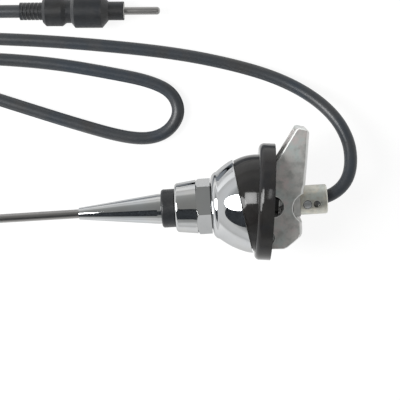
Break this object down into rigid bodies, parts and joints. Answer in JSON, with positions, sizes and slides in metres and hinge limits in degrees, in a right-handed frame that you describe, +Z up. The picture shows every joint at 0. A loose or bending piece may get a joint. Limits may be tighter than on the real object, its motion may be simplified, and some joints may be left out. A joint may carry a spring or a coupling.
{
  "type": "car_mast_aerial",
  "caption": "Car mast aerial with a tapered steel mast, chrome swivel head, black flange, folded clamp claw and a coaxial lead with plug",
  "frame": {"origin": "Centre of the flange's panel face, where the panel is clamped", "axes": "The aerial lies on a flat surface with +Z up. The mast runs along -X, its tip a little lower than its head; the lead leaves along +X; the claw's peak points to +Y"},
  "size_m": [0.9777, 0.1224, 0.0453],
  "materials": {
    "chrome": "polished chrome plating",
    "black_gloss": "glossy black moulding",
    "black_plastic": "satin black moulding",
    "zinc_steel": "dull zinc-plated steel",
    "bright_steel": "bright drawn steel",
    "brass": "turned brass",
    "white_nylon": "natural nylon",
    "black_rubber": "black rubber",
    "cable_jacket": "smooth black cable jacket"
  },
  "bodies": {
    "base": {"base_dome": "black_gloss", "dome_seal": "black_rubber"},
    "head": {"bell_cover": "chrome", "bell_liner": "white_nylon", "cap_washer": "black_plastic", "mast_collar": "black_plastic", "mast_socket": "brass", "draw_rod": "zinc_steel", "feed_sleeve": "white_nylon", "feed_wire": "brass"},
    "cap": {"hex_cap": "chrome"},
    "mast": {"mast_stud": "zinc_steel", "mast_ferrule": "chrome", "mast_rod": "bright_steel", "mast_tip": "black_plastic"},
    "clamp": {"stem": "zinc_steel", "coax_core": "white_nylon", "contact_plunger": "brass", "claw": "zinc_steel", "clamp_sleeve": "zinc_steel", "clamp_pin": "zinc_steel", "grub_screw": "zinc_steel", "cable_bush": "brass", "coax_cable": "cable_jacket", "plug_relief": "black_plastic", "plug_body": "black_plastic", "plug_ring": "white_nylon", "plug_pin": "bright_steel"}
  },
  "joints": [
    {"name": "head_swivel", "type": "hinge", "parent": "base", "child": "head", "pos_m": [-0.0058, 0, -0.00012], "axis": [-0.9872, -0.1582, -0.0211], "range_deg": [-180, 180]},
    {"name": "cap_turn", "type": "hinge", "parent": "head", "child": "cap", "pos_m": [-0.02699, 0, -0.00058], "axis": [-0.9998, 0, -0.0213], "range_deg": [0, 1080]},
    {"name": "mast_draw", "type": "slide", "parent": "head", "child": "mast", "axis": [-0.9998, 0, -0.0213], "range_m": [0, 0.009]},
    {"name": "clamp_draw", "type": "slide", "parent": "base", "child": "clamp", "axis": [0.9998, 0, 0.0213], "range_m": [0, 0.003]}
  ],
  "couplings": [
    {"joint": "cap_turn", "follows": "clamp_draw", "rad_per_m": 6283.2}
  ]
}
